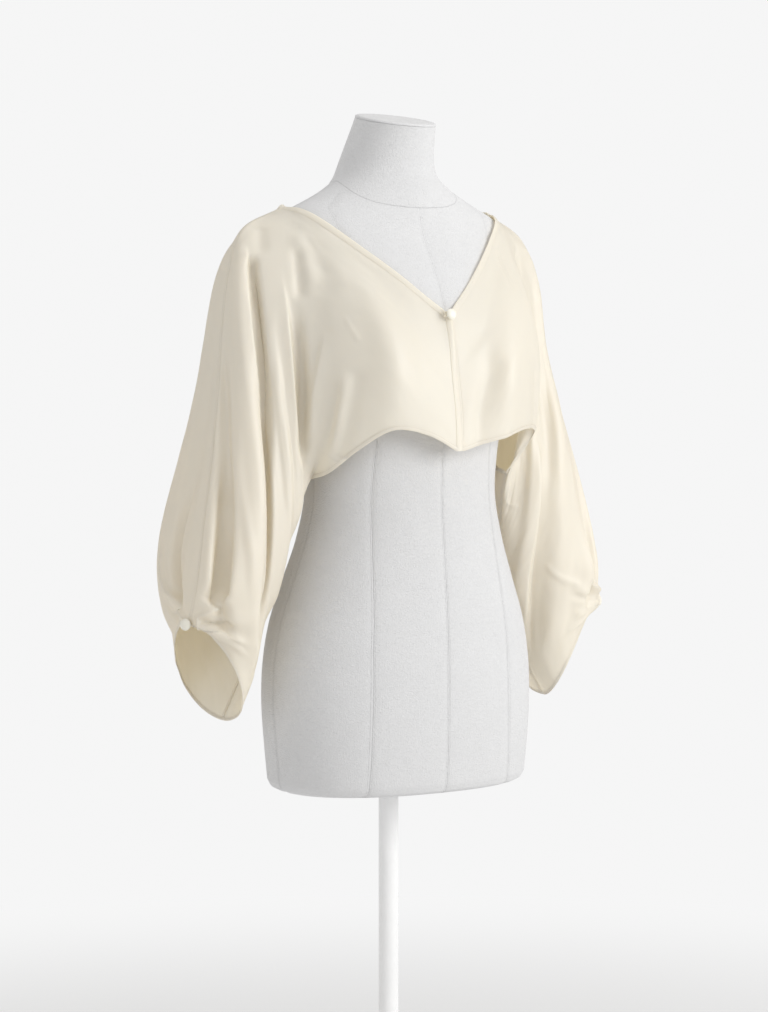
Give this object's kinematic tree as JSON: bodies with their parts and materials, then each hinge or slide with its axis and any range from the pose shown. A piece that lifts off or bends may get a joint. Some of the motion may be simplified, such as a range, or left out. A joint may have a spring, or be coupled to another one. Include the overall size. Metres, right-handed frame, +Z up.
{
  "type": "bolero jacket on dress form",
  "caption": "Cropped batwing silk bolero with a V neck, worn on a limbless linen dress form on a round pole and disc base.",
  "frame": {"origin": "middle of the base disc's underside, on the floor", "axes": "+Z up along the pole; -Y the way the wearer's front faces; -X the wearer's right side"},
  "size_m": [0.6172, 0.34, 1.5206],
  "materials": {
    "silk": "ivory silk satin, soft sheen",
    "covered_button": "silk-covered button",
    "linen": "white slubbed linen cover, matt",
    "painted_steel": "white powder coat"
  },
  "bodies": {
    "root": {"front_right": "silk", "front_left": "silk", "back_right": "silk", "back_left": "silk", "edge_binding_right": "silk", "edge_binding_left": "silk", "front_loop": "silk", "cuff_loop_right": "silk", "cuff_loop_left": "silk", "front_button": "covered_button", "cuff_button_right": "covered_button", "cuff_button_left": "covered_button", "torso_form": "linen", "neck_cap": "linen", "pole": "painted_steel", "base_disc": "painted_steel"}
  },
  "joints": []
}
